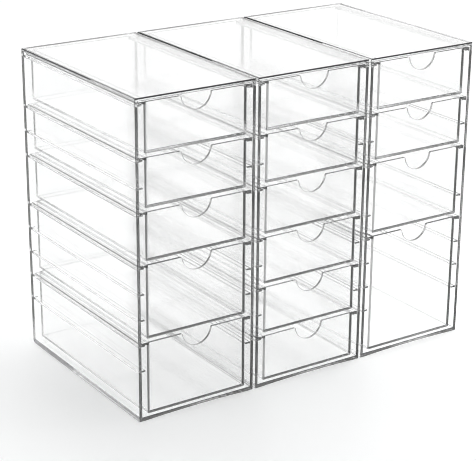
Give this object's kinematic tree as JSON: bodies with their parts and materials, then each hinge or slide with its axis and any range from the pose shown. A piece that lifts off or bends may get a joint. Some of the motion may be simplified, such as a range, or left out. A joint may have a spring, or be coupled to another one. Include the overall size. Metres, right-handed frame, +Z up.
{
  "type": "craft drawer organizer",
  "caption": "Clear moulded drawer towers side by side. Hanging drawers of several heights slide out by half-round finger notches and hold craft stamps and small parts.",
  "frame": {"origin": "on the table, under the middle of the row of three towers", "axes": "+X to the right along the row of towers, +Y to the back, away from the drawer fronts, +Z up"},
  "size_m": [0.3498, 0.195, 0.281],
  "materials": {
    "casing_clear": "clear polished polystyrene",
    "drawer_clear": "clear polished polystyrene"
  },
  "bodies": {
    "casings": {"left_casing": "casing_clear", "middle_casing": "casing_clear", "right_casing": "casing_clear"},
    "left_drawer_1": {"left_drawer_1": "drawer_clear"},
    "left_drawer_2": {"left_drawer_2": "drawer_clear"},
    "left_drawer_3": {"left_drawer_3": "drawer_clear"},
    "left_drawer_4": {"left_drawer_4": "drawer_clear"},
    "left_drawer_5": {"left_drawer_5": "drawer_clear"},
    "middle_drawer_1": {"middle_drawer_1": "drawer_clear"},
    "middle_drawer_2": {"middle_drawer_2": "drawer_clear"},
    "middle_drawer_3": {"middle_drawer_3": "drawer_clear"},
    "middle_drawer_4": {"middle_drawer_4": "drawer_clear"},
    "middle_drawer_5": {"middle_drawer_5": "drawer_clear"},
    "middle_drawer_6": {"middle_drawer_6": "drawer_clear"},
    "right_drawer_1": {"right_drawer_1": "drawer_clear"},
    "right_drawer_2": {"right_drawer_2": "drawer_clear"},
    "right_drawer_3": {"right_drawer_3": "drawer_clear"},
    "right_drawer_4": {"right_drawer_4": "drawer_clear"}
  },
  "joints": [
    {"name": "left_drawer_1_slide", "type": "slide", "parent": "casings", "child": "left_drawer_1", "axis": [0, -1, 0], "range_m": [0, 0.14]},
    {"name": "left_drawer_2_slide", "type": "slide", "parent": "casings", "child": "left_drawer_2", "axis": [0, -1, 0], "range_m": [0, 0.14]},
    {"name": "left_drawer_3_slide", "type": "slide", "parent": "casings", "child": "left_drawer_3", "axis": [0, -1, 0], "range_m": [0, 0.14]},
    {"name": "left_drawer_4_slide", "type": "slide", "parent": "casings", "child": "left_drawer_4", "axis": [0, -1, 0], "range_m": [0, 0.14]},
    {"name": "left_drawer_5_slide", "type": "slide", "parent": "casings", "child": "left_drawer_5", "axis": [0, -1, 0], "range_m": [0, 0.14]},
    {"name": "middle_drawer_1_slide", "type": "slide", "parent": "casings", "child": "middle_drawer_1", "axis": [0, -1, 0], "range_m": [0, 0.14]},
    {"name": "middle_drawer_2_slide", "type": "slide", "parent": "casings", "child": "middle_drawer_2", "axis": [0, -1, 0], "range_m": [0, 0.14]},
    {"name": "middle_drawer_3_slide", "type": "slide", "parent": "casings", "child": "middle_drawer_3", "axis": [0, -1, 0], "range_m": [0, 0.14]},
    {"name": "middle_drawer_4_slide", "type": "slide", "parent": "casings", "child": "middle_drawer_4", "axis": [0, -1, 0], "range_m": [0, 0.14]},
    {"name": "middle_drawer_5_slide", "type": "slide", "parent": "casings", "child": "middle_drawer_5", "axis": [0, -1, 0], "range_m": [0, 0.14]},
    {"name": "middle_drawer_6_slide", "type": "slide", "parent": "casings", "child": "middle_drawer_6", "axis": [0, -1, 0], "range_m": [0, 0.14]},
    {"name": "right_drawer_1_slide", "type": "slide", "parent": "casings", "child": "right_drawer_1", "axis": [0, -1, 0], "range_m": [0, 0.14]},
    {"name": "right_drawer_2_slide", "type": "slide", "parent": "casings", "child": "right_drawer_2", "axis": [0, -1, 0], "range_m": [0, 0.14]},
    {"name": "right_drawer_3_slide", "type": "slide", "parent": "casings", "child": "right_drawer_3", "axis": [0, -1, 0], "range_m": [0, 0.14]},
    {"name": "right_drawer_4_slide", "type": "slide", "parent": "casings", "child": "right_drawer_4", "axis": [0, -1, 0], "range_m": [0, 0.14]}
  ]
}
